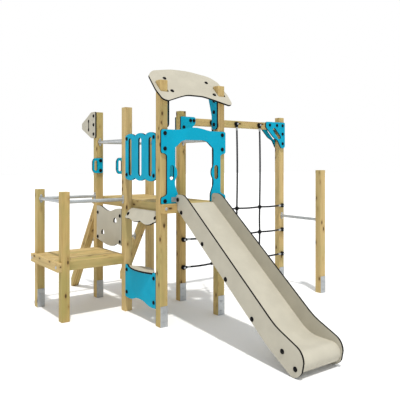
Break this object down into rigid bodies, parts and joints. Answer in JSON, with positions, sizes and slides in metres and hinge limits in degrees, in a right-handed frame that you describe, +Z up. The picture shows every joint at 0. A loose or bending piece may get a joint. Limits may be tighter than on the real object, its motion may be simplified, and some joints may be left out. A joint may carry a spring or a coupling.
{
  "type": "timber climbing and play tower",
  "caption": "Outdoor timber play tower with high and low decks, a rope climbing net, a rung ladder, a turning bar, guard panels, a roof board and a straight slide.",
  "frame": {"origin": "middle of the footprint's bounding box, on the ground", "axes": "+Z up; +X from the low deck to the rope net; +Y from the slide to the ladder"},
  "size_m": [3.288, 4.0524, 2.6785],
  "materials": {
    "pine": "planed pressure-treated pine, matt",
    "blue_board": "solid-coloured sheet, fine grained",
    "stone_board": "solid-coloured sheet with a dark core at its edges",
    "zinc_tube": "galvanised, dull",
    "zinc_fixing": "galvanised, dull",
    "rope": "laid polypropylene over a wire core",
    "black_cap": "moulded, satin"
  },
  "bodies": {
    "root": {"post_roof_left": "pine", "post_roof_right": "pine", "post_mid_left": "pine", "post_mid_right": "pine", "post_back_left": "pine", "post_back_right": "pine", "post_low_back": "pine", "post_low_front": "pine", "post_net": "pine", "post_bar": "pine", "high_front_beam": "pine", "high_back_beam": "pine", "high_side_joists": "pine", "high_bearers": "pine", "high_deck_boards": "pine", "low_side_beam": "pine", "low_cross_joists": "pine", "low_bearers": "pine", "low_deck_boards": "pine", "net_beam": "pine", "ladder_strings": "pine", "arch_panel": "blue_board", "baluster_left": "blue_board", "baluster_right": "blue_board", "counter_panel": "blue_board", "roof_brackets": "blue_board", "net_gussets": "blue_board", "tower_gussets": "blue_board", "grip_front": "blue_board", "grip_back": "blue_board", "riser_panel": "stone_board", "awning": "stone_board", "counter_shelf": "stone_board", "roof_board": "stone_board", "pointer_plate": "stone_board", "slide_side_left": "stone_board", "slide_side_right": "stone_board", "slide_chute": "stone_board", "ladder_rungs": "zinc_tube", "low_rail_side": "zinc_tube", "low_rail_front": "zinc_tube", "low_rail_back": "zinc_tube", "high_rail_left": "zinc_tube", "high_rail_back": "zinc_tube", "high_rail_right": "zinc_tube", "turning_bar": "zinc_tube", "slide_ties": "zinc_tube", "roof_angles": "zinc_fixing", "rope_ferrules": "zinc_fixing", "slide_brackets": "zinc_fixing", "beam_bolts": "zinc_fixing", "panel_cleats": "zinc_fixing", "post_shoes": "zinc_fixing", "rope_uprights": "rope", "rope_crossings": "rope", "rope_clamps": "black_cap", "rope_eyes": "black_cap", "panel_caps": "black_cap"}
  },
  "joints": []
}
